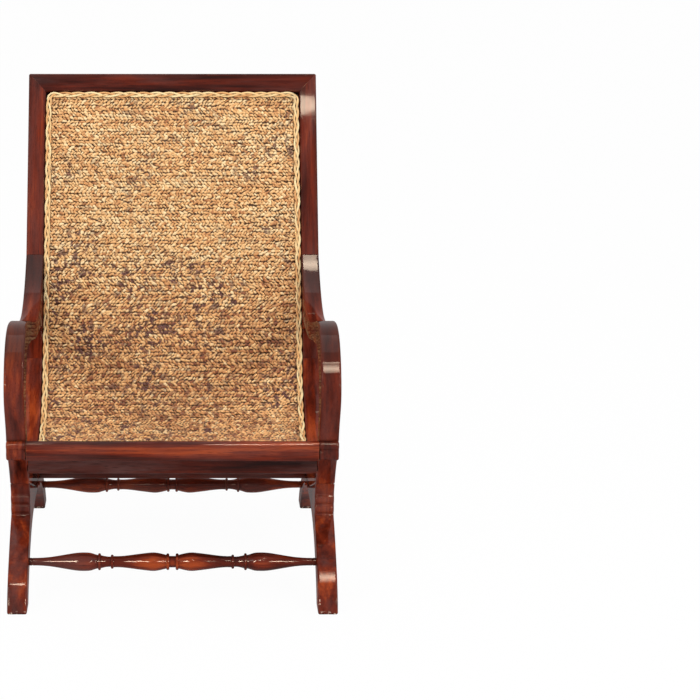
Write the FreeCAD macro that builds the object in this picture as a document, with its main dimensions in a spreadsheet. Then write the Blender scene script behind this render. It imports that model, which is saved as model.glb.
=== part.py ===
import FreeCAD, Part

import math
import os
from types import SimpleNamespace

import Sketcher
from FreeCAD import Placement, Rotation, Vector

# A planters chair of glossy dark wood: two sawn side frames with scrolled arms, joined by rails and
# turned stretchers, and one woven panel for seat and back. The front faces -Y, and the origin is at
# the floor, under the middle of the bounding box.

# Driving dimensions, in millimetres and degrees
SIZES = {
    # The side frames
    "overall_width": 700,
    "overall_height": 1004,
    "side_thickness": 42,
    "edge_round": 4,
    "rail_edge_round": 2,
    "mitre_chamfer": 3,
    # The seat and back line in the side view
    "seat_front_height": 366,
    "seat_slope": 22.5,
    "seat_run": 290,
    "seat_bend_radius": 230,
    "back_lower_angle": 67,
    "lumbar_radius": 1100,
    "back_angle": 60.5,
    "crest_angle": 63,
    "rail_depth": 85,
    "crest_depth": 46,
    "crest_width": 46,
    # The nose of the seat rail and the front seat rail
    "nose_height": 45.5,
    "nose_top_setback": 11,
    "nose_quirk_setback": 5,
    "nose_under_depth": 34,
    "nose_under_rise": 3,
    "front_rail_depth": 78,
    "front_rail_round": 15,
    # The apron and the rear cross rail
    "apron_setback": 56,
    "apron_thickness": 22,
    "apron_height": 48,
    "cross_rail_bend_offset": 34,
    "cross_rail_thickness": 22,
    "cross_rail_height": 62,
    # The legs
    "waist_setback": 98,
    "waist_drop": 157,
    "waist_bead_height": 22,
    "waist_bead_depth": 6,
    "toe_forward": 69,
    "foot_depth": 55,
    "rear_toe_setback": 617,
    "crown_depth": 12.5,
    "rear_leg_bend_offset": 96,
    # The arms
    "arm_joint_length": 52,
    "arm_rise": 220,
    "arm_forward": 24,
    "arm_root_rise": 74,
    "arm_tip_rise": 236,
    # The stretchers
    "stretcher_end_diameter": 16.5,
    "stretcher_neck_diameter": 24.5,
    "stretcher_bulge_diameter": 39.5,
    "stretcher_ring_diameter": 36.5,
    "stretcher_tenon_diameter": 14,
    "stretcher_tenon_length": 25,
    # The woven panel, its binding and its cleats
    "panel_thickness": 9,
    "panel_recess": 4,
    "panel_side_gap": 0.3,
    "binding_width": 13,
    "binding_height": 6,
    "binding_corner_radius": 20,
    "cleat_width": 18,
    "cleat_thickness": 18,
    # Dowels, splines, blocks and screws
    "dowel_diameter": 10,
    "thin_dowel_diameter": 8,
    "dowel_length": 50,
    "short_dowel_length": 36,
    "spline_thickness": 4,
    "spline_length": 26,
    "spline_width": 24,
    "block_size": 45,
    "block_height": 22,
    "screw_diameter": 4,
    "screw_head_diameter": 8,
    "screw_head_height": 3,
    "screw_length": 32,
    # How far cutting shapes run past what they cut
    "cut_overrun": 8,
}

doc = FreeCAD.newDocument("PlantersChair")
sheet = doc.addObject("Spreadsheet::Sheet", "Sizes")
for row, (alias, value) in enumerate(SIZES.items(), start=1):
    sheet.set(f"A{row}", alias)
    sheet.set(f"B{row}", str(value))
    sheet.setAlias(f"B{row}", alias)
doc.recompute()
g = SimpleNamespace(**{alias: float(sheet.get(alias)) for alias in SIZES})

# Left is -X and right is +X
SIDES = {"left": -1, "right": 1}
outer_x = g.overall_width / 2
inner_x = outer_x - g.side_thickness
INNER_X = "(Sizes.overall_width / 2 - Sizes.side_thickness)"

# Points closer than this are one point
CLOSE = 0.01
# Curves that turn by less than this where they meet run on smoothly, in degrees
SMOOTH = 8

nodes = []


# The side view. Its points are (y, z), and its angles are measured from level, rising to the back.


def along(angle):
    """Unit direction up the seat line."""
    turn = math.radians(angle)
    return Vector(math.cos(turn), math.sin(turn), 0)


def behind(angle):
    """Unit direction square to the seat line, below the seat or behind the back."""
    turn = math.radians(angle)
    return Vector(math.sin(turn), -math.cos(turn), 0)


# The bounding box runs from the front toe to the back of the crest, so the line is laid out from its
# front end at y = 0 first, and then shifted.
seat_end = along(-g.seat_slope) * g.seat_run
seat_bend_turn = behind(g.back_lower_angle) - behind(-g.seat_slope)
bend_end = seat_end + seat_bend_turn * g.seat_bend_radius
lumbar_turn = behind(g.back_lower_angle) - behind(g.back_angle)
lumbar_end = bend_end + lumbar_turn * g.lumbar_radius
upper_rise = g.overall_height - g.seat_front_height - lumbar_end.y
upper_radius = upper_rise / (math.cos(math.radians(g.back_angle)) - math.cos(math.radians(g.crest_angle)))
line_end = lumbar_end + (behind(g.crest_angle) - behind(g.back_angle)) * upper_radius
back_reach = (line_end + behind(g.crest_angle) * g.crest_depth).x
seat_front = Vector((g.toe_forward - back_reach) / 2, g.seat_front_height, 0)
front_y = seat_front.x

bend_centre = seat_front + seat_end - behind(-g.seat_slope) * g.seat_bend_radius
lumbar_centre = seat_front + bend_end + behind(g.back_lower_angle) * g.lumbar_radius
upper_centre = seat_front + lumbar_end - behind(g.back_angle) * upper_radius


def seat_point(distance, offset=0):
    """Point of the straight seat, this far along it from the front."""
    return seat_front + along(-g.seat_slope) * distance + behind(-g.seat_slope) * offset


def bend_point(angle, offset=0):
    return bend_centre + behind(angle) * (g.seat_bend_radius + offset)


def lumbar_point(angle, offset=0):
    return lumbar_centre - behind(angle) * (g.lumbar_radius - offset)


def upper_point(angle, offset=0):
    return upper_centre + behind(angle) * (upper_radius + offset)


def arc(point_at, start, end, offset=0):
    """Arc of the seat line between two of its angles."""
    return Part.Arc(point_at(start, offset), point_at((start + end) / 2, offset), point_at(end, offset))


def line(start, end):
    return Part.LineSegment(start, end)


def curve(points, start_way=None, end_way=None):
    """Smooth curve through points, with its end directions where they are given."""
    spline = Part.BSplineCurve()
    if start_way is None or end_way is None:
        spline.interpolate(Points=points)
    else:
        spline.interpolate(Points=points, InitialTangent=start_way, FinalTangent=end_way)
    return spline


def place(setback, height):
    """Point of the side view, this far behind the front of the seat and above the floor."""
    return Vector(front_y + setback, height, 0)


def upper_angle_below_top(distance):
    """Angle of the upper back this far below its top, along the back."""
    return g.crest_angle - math.degrees(distance / upper_radius)


def seat_distance(setback, offset=0):
    """Distance along the straight seat at which it is this far behind its front."""
    slope = math.radians(g.seat_slope)
    return (setback + offset * math.sin(slope)) / math.cos(slope)


def meeting(first, second):
    """Where two curves of the side view cross."""
    crossing = first.intersect(second)[0]
    return Vector(crossing.X, crossing.Y, 0)


def mixed(corner, reach, shares):
    """Points at these shares of a reach from a corner."""
    return [corner + Vector(across * reach.x, up * reach.y, 0) for across, up in shares]


# Helpers that make document objects


def bind(target, **expressions):
    """Bind properties of an object to expressions of the sheet. Two underscores stand for a dot."""
    for name, expression in expressions.items():
        target.setExpression(name.replace("__", "."), expression)


def origin_plane(body, role):
    return next(item for item in body.Origin.OriginFeatures if item.Role == role)


def sketched_body(label, plane, curves, height, offset):
    """A body padded from one closed outline. Height and offset are expressions."""
    body = doc.addObject("PartDesign::Body", label)
    sketch = body.newObject("Sketcher::SketchObject", f"{label}_outline")
    sketch.AttachmentSupport = [(origin_plane(body, plane), "")]
    sketch.MapMode = "FlatFace"
    sketch.addGeometry(curves, False)
    count = len(curves)
    for index in range(count):
        following = (index + 1) % count
        ends = end_positions(curves[index], curves[following])
        sketch.addConstraint(Sketcher.Constraint("Coincident", index, ends[0], following, ends[1]))
        sketch.addConstraint(Sketcher.Constraint("Block", index))
    sketch.setExpression("AttachmentOffset.Base.z", offset)
    pad = body.newObject("PartDesign::Pad", f"{label}_pad")
    pad.Profile = sketch
    pad.setExpression("Length", height)
    doc.recompute()
    return body, pad


def end_positions(first, second):
    """Which ends of two curves meet: 1 is a start and 2 an end, as a sketch numbers them."""
    pairs = []
    for first_place, first_end in ends_of(first):
        for second_place, second_end in ends_of(second):
            pairs.append((first_end.distanceToPoint(second_end), first_place, second_place))
    return min(pairs)[1:]


def ends_of(one):
    """Numbered ends of a curve. A sketch turns every arc counterclockwise."""
    shape = one.toShape()
    start = shape.valueAt(shape.FirstParameter)
    end = shape.valueAt(shape.LastParameter)
    if isinstance(one, Part.Arc) and one.toShape().Curve.Axis.z < 0:
        return ((1, end), (2, start))
    return ((1, start), (2, end))


def long_edges(shape, curves, chosen):
    """Names of a board's edges along these curves of its outline, and at the sharp corners between."""
    spots = [middle(curves[index].toShape()) for index in chosen]
    corners = []
    for index in chosen:
        following = (index + 1) % len(curves)
        if following in chosen and is_sharp(curves[index], curves[following]):
            corners.append(shared_end(curves[index], curves[following]))
    names = []
    for number, edge in enumerate(shape.Edges, start=1):
        level = edge.BoundBox.XLength < CLOSE
        if is_near(edge, spots if level else corners):
            names.append(f"Edge{number}")
    return names


def corner_edges(shape, corners):
    """Names of a board's edges that run across the chair at these corners of its outline."""
    names = []
    for number, edge in enumerate(shape.Edges, start=1):
        if edge.BoundBox.XLength > CLOSE and is_near(edge, corners):
            names.append(f"Edge{number}")
    return names


def is_near(edge, spots):
    """Whether the middle of an edge lies at one of these points of the side view."""
    halfway = middle(edge)
    return any(Vector(halfway.y, halfway.z, 0).distanceToPoint(spot) < CLOSE for spot in spots)


def ease(body, base, kind, names, size):
    """Round the named edges of a feature with a Fillet, or flatten them with a Chamfer."""
    easing = body.newObject(f"PartDesign::{kind}", f"{body.Label}_{kind.lower()}")
    easing.Base = (base, names)
    easing.setExpression({"Fillet": "Radius", "Chamfer": "Size"}[kind], size)
    doc.recompute()
    return easing


def middle(edge):
    return edge.valueAt((edge.FirstParameter + edge.LastParameter) / 2)


def shared_end(first, second):
    for _, first_end in ends_of(first):
        for _, second_end in ends_of(second):
            if first_end.distanceToPoint(second_end) < CLOSE:
                return first_end
    raise ValueError("an outline has a gap")


def is_sharp(first, second):
    point = shared_end(first, second)
    ways = []
    for one in (first, second):
        shape = one.toShape()
        ways.append(shape.tangentAt(shape.Curve.parameter(point)))
    between = math.degrees(ways[0].getAngle(ways[1]))
    return min(between, 180 - between) > SMOOTH


def side_offset(side):
    """Where the pad of a side frame's board starts along X."""
    return INNER_X if side > 0 else "-Sizes.overall_width / 2"


def side_board(label, side, curves, eased, kind="Fillet", size="Sizes.edge_round"):
    """A board of a side frame, with its edges eased along these curves of its outline."""
    body, pad = sketched_body(label, "YZ_Plane", curves, "Sizes.side_thickness", side_offset(side))
    ease(body, pad, kind, long_edges(pad.Shape, curves, eased), size)
    return body


def cross_board(label, curves, half_length=INNER_X, corners=(), kind="Fillet",
                size="Sizes.rail_edge_round"):
    """A board of one side profile that runs across the chair, eased along these corners."""
    body, pad = sketched_body(label, "YZ_Plane", curves, f"2 * ({half_length})", f"-({half_length})")
    if corners:
        ease(body, pad, kind, corner_edges(pad.Shape, corners), size)
    return body


def group(label, members):
    compound = doc.addObject("Part::Compound", label)
    compound.Links = members
    return compound


def keep(label, shape_object):
    """Give an object its node's name and list it for writing."""
    shape_object.Label = label
    nodes.append(shape_object)


def cut_node(label, base, tools):
    """A node that is a base cut by every tool."""
    base.Label = f"{label}_uncut"
    cut = doc.addObject("Part::Cut", label)
    cut.Base = base
    cut.Tool = group(f"{label}_cuts", tools)
    keep(label, cut)


def dowel(name, centre, way, diameter="Sizes.dowel_diameter", length="Sizes.dowel_length"):
    """A dowel centred on a point. Its cylinder is also the bore that it fills."""
    peg = doc.addObject("Part::Cylinder", name)
    bind(peg, Radius=f"{diameter} / 2", Height=length)
    doc.recompute()
    start = centre - way * (peg.Height.Value / 2)
    peg.Placement = Placement(start, Rotation(Vector(0, 0, 1), way))
    return peg


def screw(name, head_at, way):
    """A countersunk screw from the middle of its head's face."""
    turn = Rotation(Vector(0, 0, 1), way)
    head = doc.addObject("Part::Cone", f"{name}_head")
    bind(head, Radius1="Sizes.screw_head_diameter / 2", Radius2="Sizes.screw_diameter / 2")
    bind(head, Height="Sizes.screw_head_height")
    head.Placement = Placement(head_at, turn)
    shank = doc.addObject("Part::Cylinder", f"{name}_shank")
    bind(shank, Radius="Sizes.screw_diameter / 2", Height="Sizes.screw_length - Sizes.screw_head_height")
    shank.Placement = Placement(head_at + way * g.screw_head_height, turn)
    whole = doc.addObject("Part::Fuse", name)
    whole.Base = head
    whole.Tool = shank
    return whole


def at(side_point, across):
    """A point of the side view, this far across the chair."""
    return Vector(across, side_point.x, side_point.y)


def way_of(side_way):
    return Vector(0, side_way.x, side_way.y)


# Outlines in the side view


def arc_about(centre, start, end):
    """The short arc about a centre from one point to another."""
    radius = start.distanceToPoint(centre)
    half_way = (start + end) * 0.5 - centre
    half_way.normalize()
    return Part.Arc(start, centre + half_way * radius, end)


seat_angle = -g.seat_slope
back_joint = bend_point(g.back_lower_angle, g.rail_depth)
back_top = upper_point(g.crest_angle, g.crest_depth)
back_chord = back_top - back_joint
square_to_joint = behind(g.back_lower_angle)
back_radius = back_chord.Length ** 2 / (2 * back_chord.dot(square_to_joint))
back_centre = back_joint + square_to_joint * back_radius
back_line = arc_about(back_centre, back_joint, back_top)

# The stiles and the crest rail run past their mitres before the mitres are cut
stile_top_angle = upper_angle_below_top(-g.cut_overrun / 2)
stile_top_way = upper_point(stile_top_angle, g.crest_depth) - back_centre
stile_top_back = back_centre + stile_top_way.normalize() * back_radius

nose_top = seat_point(seat_distance(g.nose_top_setback))
nose_quirk = place(g.nose_quirk_setback, g.seat_front_height - g.nose_height / 2)
nose_bottom = place(g.nose_quirk_setback, g.seat_front_height - g.nose_height)
brace_top = place(g.nose_under_depth, nose_bottom.y - g.nose_under_rise)
waist_top = place(g.waist_setback, g.seat_front_height - g.waist_drop)
brace_chord = waist_top - brace_top
brace_square = Vector(-brace_chord.y, brace_chord.x, 0).normalize()
brace_bow_share = 0.05
brace_middle = (brace_top + waist_top) * 0.5 + brace_square * brace_chord.Length * brace_bow_share
brace = Part.Arc(brace_top, brace_middle, waist_top)
brace_centre = brace.toShape().Curve.Center

rail_bottom_start = seat_point(0, g.rail_depth)
rail_bottom_end = bend_point(seat_angle, g.rail_depth)
leg_joint = meeting(line(rail_bottom_start, rail_bottom_end), brace)

front_toe = place(-g.toe_forward, 0)
front_heel = front_toe + Vector(g.foot_depth, 0, 0)
rear_toe = place(g.rear_toe_setback, 0)
rear_heel = rear_toe - Vector(g.foot_depth, 0, 0)
arch_height = bend_centre.y - g.seat_bend_radius - g.rail_depth - g.crown_depth
arch_reach = Vector((rear_heel.x - front_heel.x) / 2, arch_height, 0)
arch_shares = [(0, 0), (0.077, 0.236), (0.192, 0.464), (0.349, 0.7), (0.52, 0.864), (0.73, 0.964)]
arch_points = mixed(front_heel, arch_reach, arch_shares + [(1, 1)])
arch_points += mixed(rear_heel, Vector(-arch_reach.x, arch_reach.y, 0), arch_shares[::-1])
arch = curve(arch_points)
arch_middle = (arch.FirstParameter + arch.LastParameter) / 2
front_arch = arch.copy()
front_arch.segment(arch.FirstParameter, arch_middle)
rear_arch = arch.copy()
rear_arch.segment(arch_middle, arch.LastParameter)
arch_top = front_arch.value(front_arch.LastParameter)

crown_share = (arch_top.x - bend_centre.x) / (g.seat_bend_radius + g.rail_depth)
crown_angle = math.degrees(math.asin(crown_share))
crown = bend_point(crown_angle, g.rail_depth)
rear_leg_share = g.rear_leg_bend_offset / (g.seat_bend_radius + g.rail_depth)
rear_leg_angle = math.degrees(math.asin(rear_leg_share))
rear_leg_top = bend_point(rear_leg_angle, g.rail_depth)


def side_rail_outline():
    bend_in = bend_point(seat_angle)
    return [
        line(nose_top, bend_in),
        arc(bend_point, seat_angle, g.back_lower_angle),
        line(bend_point(g.back_lower_angle), back_joint),
        arc(bend_point, g.back_lower_angle, seat_angle, g.rail_depth),
        line(rail_bottom_end, leg_joint),
        arc_about(brace_centre, leg_joint, brace_top),
        line(brace_top, nose_bottom),
        Part.Arc(nose_bottom, nose_front(nose_bottom, nose_quirk), nose_quirk),
        Part.Arc(nose_quirk, nose_front(nose_quirk, nose_top), nose_top),
    ]


def nose_front(low, high):
    """Foremost point of a bead of the nose."""
    return Vector(front_y, (low.y + high.y) / 2, 0)


def back_stile_outline():
    return [
        arc(lumbar_point, g.back_lower_angle, g.back_angle),
        arc(upper_point, g.back_angle, stile_top_angle),
        line(upper_point(stile_top_angle), stile_top_back),
        arc_about(back_centre, stile_top_back, back_joint),
        line(back_joint, bend_point(g.back_lower_angle)),
    ]


def crest_outline():
    low_angle = upper_angle_below_top(g.crest_width)
    low_front = upper_point(low_angle)
    low_back = meeting(line(low_front, upper_point(low_angle, 2 * g.crest_depth)), back_line)
    return [
        arc(upper_point, low_angle, g.crest_angle),
        line(upper_point(g.crest_angle), back_top),
        arc_about(back_centre, back_top, low_back),
        line(low_back, low_front),
    ]


def waist_bead(high):
    """A bead of the collar under a point of the waist."""
    low = high - Vector(0, g.waist_bead_height, 0)
    front = (low + high) * 0.5 - Vector(g.waist_bead_depth, 0, 0)
    return Part.Arc(high, front, low), low


upper_bead, waist_middle = waist_bead(waist_top)
lower_bead, waist_bottom = waist_bead(waist_middle)
shin_shares = [(0, 0), (0.263, 0.164), (0.533, 0.376), (0.772, 0.594), (0.934, 0.824), (1, 1)]
shin = curve(mixed(waist_bottom, front_toe - waist_bottom, shin_shares))
calf_shares = [(0, 0), (0.364, 0.348), (0.655, 0.578), (0.897, 0.831), (1, 1)]
calf = curve(mixed(rear_leg_top, rear_toe - rear_leg_top, calf_shares))


def leg_middle(outer, inner, height):
    """Point in the middle of a leg at a height, between its two long curves."""
    level = line(Vector(front_toe.x, height, 0), Vector(rear_toe.x, height, 0))
    return (meeting(level, outer) + meeting(level, inner)) * 0.5


stretcher_rise_shares = (0.594, 0.548)
front_stretcher_at = leg_middle(shin, front_arch, arch_height * stretcher_rise_shares[0])
rear_stretcher_at = leg_middle(calf, rear_arch, arch_height * stretcher_rise_shares[1])


def front_leg_outline():
    return [
        line(leg_joint, rail_bottom_end),
        arc(bend_point, seat_angle, crown_angle, g.rail_depth),
        line(crown, arch_top),
        front_arch,
        line(front_heel, front_toe),
        shin,
        lower_bead,
        upper_bead,
        arc_about(brace_centre, waist_top, leg_joint),
    ]


def rear_leg_outline():
    return [
        arc(bend_point, crown_angle, rear_leg_angle, g.rail_depth),
        calf,
        line(rear_toe, rear_heel),
        rear_arch,
        line(arch_top, crown),
    ]


def lumbar_angle_at(height):
    """Direction of the lumbar arc at a height."""
    return math.degrees(math.acos((height - lumbar_centre.y) / g.lumbar_radius))


def upper_angle_at(height):
    return math.degrees(math.acos((upper_centre.y - height) / upper_radius))


def arm_outline():
    heel = seat_point(seat_distance(g.nose_top_setback) + g.arm_joint_length)
    tip_angle = upper_angle_at(g.seat_front_height + g.arm_tip_rise)
    tip = upper_point(tip_angle)
    root_angle = lumbar_angle_at(g.seat_front_height + g.arm_root_rise)
    root = lumbar_point(root_angle)
    corner = place(-g.arm_forward, g.seat_front_height)
    reach = Vector(tip.x - corner.x, g.arm_rise, 0)
    top_shares = [(0.025, 0.209), (0, 0.45), (0.017, 0.65), (0.06, 0.835), (0.12, 0.959), (0.185, 1)]
    top_shares += [(0.26, 0.977), (0.387, 0.864), (0.528, 0.732), (0.657, 0.645), (0.74, 0.65)]
    top_shares += [(0.825, 0.725), (0.912, 0.864)]
    under_shares = [(0.825, 0.405), (0.74, 0.455), (0.641, 0.482), (0.514, 0.555), (0.387, 0.655)]
    under_shares += [(0.288, 0.72), (0.21, 0.755), (0.154, 0.68), (0.115, 0.545), (0.096, 0.373)]
    under_shares += [(0.093, 0.2), (0.1, 0.05)]
    return [
        curve([nose_top] + mixed(corner, reach, top_shares) + [tip]),
        arc(upper_point, tip_angle, g.back_angle),
        arc(lumbar_point, g.back_angle, root_angle),
        curve([root] + mixed(corner, reach, under_shares) + [heel]),
        line(heel, nose_top),
    ]


def strip_outline(front_setback, offset, thickness, top_gap):
    """A strip that follows the seat and back line, from a setback to a gap below the top."""
    end_angle = upper_angle_below_top(top_gap)
    deep = offset + thickness
    front = seat_point(seat_distance(front_setback, offset), offset)
    front_deep = seat_point(seat_distance(front_setback, deep), deep)
    return [
        line(front, bend_point(seat_angle, offset)),
        arc(bend_point, seat_angle, g.back_lower_angle, offset),
        arc(lumbar_point, g.back_lower_angle, g.back_angle, offset),
        arc(upper_point, g.back_angle, end_angle, offset),
        line(upper_point(end_angle, offset), upper_point(end_angle, deep)),
        arc(upper_point, end_angle, g.back_angle, deep),
        arc(lumbar_point, g.back_angle, g.back_lower_angle, deep),
        arc(bend_point, g.back_lower_angle, seat_angle, deep),
        line(bend_point(seat_angle, deep), front_deep),
        line(front_deep, front),
    ]


# Dowels of every joint, made first because they are also their bores


def front_rail_middle(share):
    """Point half way up the front seat rail, at a share of its depth."""
    setback = g.front_rail_depth * share
    seat_height = seat_point(seat_distance(setback)).y
    return place(setback, (seat_height + nose_bottom.y) / 2)


cross_rail_corner = Vector(bend_centre.x + g.cross_rail_bend_offset, arch_height, 0)


def joint_dowels():
    pegs = {}
    middle_x = (outer_x + inner_x) / 2
    pair_gap_share = 0.22
    for name, side in SIDES.items():
        x = side * middle_x
        joint = [
            dowel(f"stile_dowel_{name}", at(bend_point(g.back_lower_angle, g.rail_depth * share), x),
                  way_of(along(g.back_lower_angle)))
            for share in (0.3, 0.7)
        ]
        pegs["stile", name] = joint
        arm_foot_share = 0.42
        arm_foot = seat_point(seat_distance(g.nose_top_setback) + g.arm_joint_length * arm_foot_share)
        spread = g.side_thickness * pair_gap_share
        pegs["arm_front", name] = [
            dowel(f"arm_front_dowel_{name}", at(arm_foot, x + shift), way_of(behind(seat_angle)),
                  length="Sizes.short_dowel_length")
            for shift in (-spread, spread)
        ]
        arm_rear = []
        for share in (0.25, 0.52):
            rise = g.arm_root_rise + (g.arm_tip_rise - g.arm_root_rise) * share
            height = g.seat_front_height + rise
            angle = lumbar_angle_at(height) if height < upper_start else upper_angle_at(height)
            point = lumbar_point(angle) if height < upper_start else upper_point(angle)
            arm_rear.append(dowel(f"arm_rear_dowel_{name}", at(point, x), way_of(behind(angle))))
        pegs["arm_rear", name] = arm_rear
        run = rail_bottom_end - leg_joint
        pegs["front_leg", name] = [
            dowel(f"front_leg_dowel_{name}", at(leg_joint + run * share, x), way_of(behind(seat_angle)))
            for share in (0.3, 0.75)
        ]
        pegs["rear_leg", name] = [
            dowel(f"rear_leg_dowel_{name}", at(bend_point(rear_leg_angle * share, g.rail_depth), x),
                  way_of(behind(rear_leg_angle * share)), length="Sizes.short_dowel_length")
            for share in (0.6, 0.88)
        ]
        crown_middle = (crown + arch_top) * 0.5
        pegs["crown", name] = [
            dowel(f"crown_dowel_{name}", at(crown_middle, x), Vector(0, 1, 0),
                  "Sizes.thin_dowel_diameter", "Sizes.short_dowel_length")
        ]
        face = Vector(side, 0, 0)
        x = side * inner_x
        pegs["front_rail", name] = [
            dowel(f"front_rail_dowel_{name}", at(front_rail_middle(share), x), face)
            for share in (0.16, 0.7)
        ]
        apron_y = g.apron_setback + g.apron_thickness / 2
        pegs["apron", name] = [
            dowel(f"apron_dowel_{name}", at(place(apron_y, nose_bottom.y - g.apron_height * share), x), face,
                  "Sizes.thin_dowel_diameter")
            for share in (0.25, 0.75)
        ]
        cross_size = Vector(g.cross_rail_thickness, g.cross_rail_height, 0)
        pegs["cross_rail", name] = [
            dowel(f"cross_rail_dowel_{name}", at(point, x), face)
            for point in mixed(cross_rail_corner, cross_size, [(0.5, 0.4), (0.5, 0.8)])
        ]
    return pegs


upper_start = lumbar_end.y + g.seat_front_height
pegs = joint_dowels()


def pegs_of(kind):
    return pegs[kind, "left"] + pegs[kind, "right"]


def tenon_bore(name, side, centre):
    """The blind hole of a stretcher's tenon in a leg."""
    bore = doc.addObject("Part::Cylinder", name)
    bind(bore, Radius="Sizes.stretcher_tenon_diameter / 2", Height="Sizes.stretcher_tenon_length")
    bore.Placement = Placement(at(centre, side * inner_x), Rotation(Vector(0, 0, 1), Vector(side, 0, 0)))
    return bore


def cleat_screw_points():
    """Places along the side cleats for their screws."""
    offset = g.panel_recess + g.panel_thickness + g.cleat_thickness / 2
    points = [seat_point(g.seat_run * share, offset) for share in (0.55, 0.85)]
    points += [bend_point(angle, offset) for angle in (g.back_lower_angle / 3, g.back_lower_angle * 0.8)]
    back_length = g.overall_height - upper_start
    points += [upper_point(upper_angle_below_top(back_length * share), offset) for share in (0.2, 0.6, 1)]
    return points


cleat_inner_x = inner_x - g.cleat_width
side_screws = {
    name: [screw(f"cleat_screw_{name}", at(point, side * cleat_inner_x), Vector(side, 0, 0))
           for point in cleat_screw_points()]
    for name, side in SIDES.items()
}


def mitre_prism(label, side, corners):
    """A prism through the back's frame. Corners are distances in from the outer top corner."""
    top = upper_point(g.crest_angle, -g.cut_overrun)
    up = way_of(along(g.crest_angle))
    points = [at(top, side * (outer_x - inward)) - up * down for inward, down in corners]
    face = Part.Face(Part.makePolygon(points + points[:1]))
    prism = doc.addObject("Part::Feature", label)
    prism.Shape = face.extrude(way_of(behind(g.crest_angle)) * (g.crest_depth + 2 * g.cut_overrun))
    return prism


def mitre_tools(name, side):
    """What is cut off the stile above its mitre, off the crest below it, and off the corner of both."""
    mitre_share = g.crest_width / g.side_thickness
    near = -g.cut_overrun
    far = g.side_thickness + g.cut_overrun
    near_down = near * mitre_share
    far_down = far * mitre_share
    cut = g.mitre_chamfer + g.cut_overrun
    above = mitre_prism(f"mitre_above_{name}", side, [(near, near_down), (far, far_down), (far, near_down)])
    below = mitre_prism(f"mitre_below_{name}", side, [(near, near_down), (far, far_down), (near, far_down)])
    corner = mitre_prism(f"mitre_corner_{name}", side, [(near, near), (cut, near), (near, cut)])
    return above, below, corner


def mitre_spline(name, side):
    """A loose tongue across a mitre, in the middle of the frame's depth."""
    up = way_of(along(g.crest_angle))
    inward = Vector(-side, 0, 0)
    down_mitre = (inward * g.side_thickness - up * g.crest_width).normalize()
    across_mitre = (inward * g.crest_width + up * g.side_thickness).normalize()
    deep = across_mitre.cross(down_mitre)
    centre = at(upper_point(g.crest_angle, g.crest_depth / 2), side * (outer_x - g.side_thickness / 2))
    centre -= up * (g.crest_width / 2)
    tongue = doc.addObject("Part::Box", f"mitre_spline_{name}")
    bind(tongue, Length="Sizes.spline_length", Width="Sizes.spline_width", Height="Sizes.spline_thickness")
    size = Vector(g.spline_length, g.spline_width, g.spline_thickness)
    start = centre - (across_mitre * size.x + down_mitre * size.y + deep * size.z) * 0.5
    tongue.Placement = Placement(start, Rotation(across_mitre, down_mitre, deep, "XYZ"))
    return tongue


splines = {name: mitre_spline(name, side) for name, side in SIDES.items()}
mitres = {name: mitre_tools(name, side) for name, side in SIDES.items()}

for name, side in SIDES.items():
    rail = side_board(f"side_rail_{name}", side, side_rail_outline(), (0, 1, 3, 4, 5, 6, 7, 8))
    rail_cuts = [peg for kind in ("stile", "arm_front", "front_leg", "rear_leg", "front_rail", "apron",
                                  "cross_rail") for peg in pegs[kind, name]]
    cut_node(f"side_rail_{name}", rail, rail_cuts + side_screws[name])

    stile = side_board(f"back_stile_{name}", side, back_stile_outline(), (0, 1, 3),
                       kind="Chamfer", size="Sizes.mitre_chamfer")
    stile_cuts = pegs["stile", name] + pegs["arm_rear", name] + side_screws[name]
    cut_node(f"back_stile_{name}", stile, stile_cuts + [*mitres[name][::2], splines[name]])

    arm = side_board(f"arm_{name}", side, arm_outline(), (0, 3))
    cut_node(f"arm_{name}", arm, pegs["arm_front", name] + pegs["arm_rear", name])

    rounded = (3, 4, 5, 6, 7, 8)
    leg = side_board(f"front_leg_{name}", side, front_leg_outline(), rounded)
    bore = tenon_bore(f"front_bore_{name}", side, front_stretcher_at)
    cut_node(f"front_leg_{name}", leg, pegs["front_leg", name] + pegs["crown", name] + [bore])

    leg = side_board(f"rear_leg_{name}", side, rear_leg_outline(), (1, 2, 3))
    bore = tenon_bore(f"rear_bore_{name}", side, rear_stretcher_at)
    cut_node(f"rear_leg_{name}", leg, pegs["rear_leg", name] + pegs["crown", name] + [bore])


# The rails across the chair


def front_rail_outline():
    round_start = place(0, g.seat_front_height - g.front_rail_round)
    round_end = seat_point(seat_distance(g.nose_top_setback))
    corner_share = 0.28
    fullest = (round_start + round_end) * 0.5 + Vector(-1, 1, 0) * (g.nose_top_setback * corner_share)
    back_top_corner = seat_point(seat_distance(g.front_rail_depth))
    return [
        line(nose_base(0), round_start),
        Part.Arc(round_start, fullest, round_end),
        line(round_end, back_top_corner),
        line(back_top_corner, nose_base(g.front_rail_depth)),
        line(nose_base(g.front_rail_depth), nose_base(0)),
    ]


def nose_base(setback):
    """Point level with the underside of the nose."""
    return place(setback, nose_bottom.y)


def upright_board(corner, thickness, height):
    """A board's section from its lower front corner."""
    return closed_lines(mixed(corner, Vector(thickness, height, 0), [(0, 0), (1, 0), (1, 1), (0, 1)]))


def closed_lines(points):
    return [line(point, points[(index + 1) % len(points)]) for index, point in enumerate(points)]


def lower_corners(outline):
    """The two lower corners of an upright board."""
    return [outline[0].StartPoint, outline[0].EndPoint]


front_rail = cross_board("front_seat_rail", front_rail_outline(), corners=[nose_base(0)])
cut_node("front_seat_rail", front_rail, pegs_of("front_rail"))

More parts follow.
